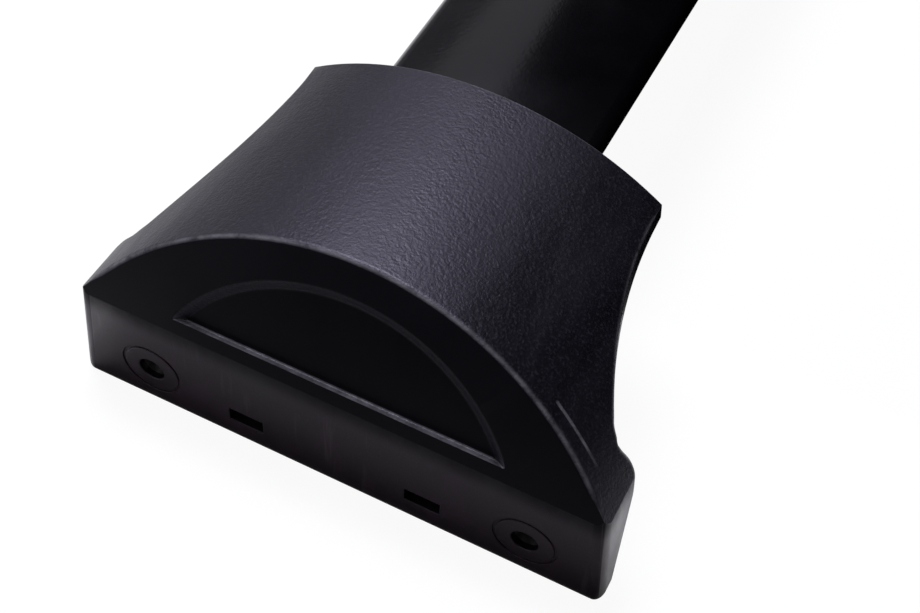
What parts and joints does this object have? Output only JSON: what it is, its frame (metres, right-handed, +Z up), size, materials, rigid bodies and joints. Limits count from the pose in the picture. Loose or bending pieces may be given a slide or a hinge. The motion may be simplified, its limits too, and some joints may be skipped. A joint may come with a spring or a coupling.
{
  "type": "roof rack crossbar",
  "caption": "Roof rack crossbar: a hollow oval bar carried by a moulded, arched foot at each end, each with an upright face for bolting to a rail.",
  "frame": {"origin": "middle of the crossbar, on the surface that the feet stand on, below the bar's centre line", "axes": "+Y along the bar towards the right foot, +X towards the vehicle's front, +Z up"},
  "size_m": [0.1524, 1, 0.0725],
  "materials": {
    "bar_coat": "satin black powder coat on aluminium",
    "foot_plastic": "black, fine-grained",
    "base_plastic": "black, plain",
    "bracket_steel": "black electrocoat on folded steel",
    "insert_plastic": "black, plain",
    "seal_rubber": "matt black",
    "sleeve_steel": "zinc plated",
    "screw_steel": "zinc plated"
  },
  "bodies": {
    "root": {"crossbar_tube": "bar_coat", "left_housing": "foot_plastic", "left_base": "base_plastic", "left_bracket": "bracket_steel", "left_tube_insert": "insert_plastic", "left_mouth_seal": "seal_rubber", "left_front_sleeve": "sleeve_steel", "left_rear_sleeve": "sleeve_steel", "left_front_bar_screw": "screw_steel", "left_rear_bar_screw": "screw_steel", "left_base_screw_1": "screw_steel", "left_base_screw_2": "screw_steel", "left_base_screw_3": "screw_steel", "left_base_screw_4": "screw_steel", "right_housing": "foot_plastic", "right_base": "base_plastic", "right_bracket": "bracket_steel", "right_tube_insert": "insert_plastic", "right_mouth_seal": "seal_rubber", "right_front_sleeve": "sleeve_steel", "right_rear_sleeve": "sleeve_steel", "right_front_bar_screw": "screw_steel", "right_rear_bar_screw": "screw_steel", "right_base_screw_1": "screw_steel", "right_base_screw_2": "screw_steel", "right_base_screw_3": "screw_steel", "right_base_screw_4": "screw_steel"}
  },
  "joints": []
}
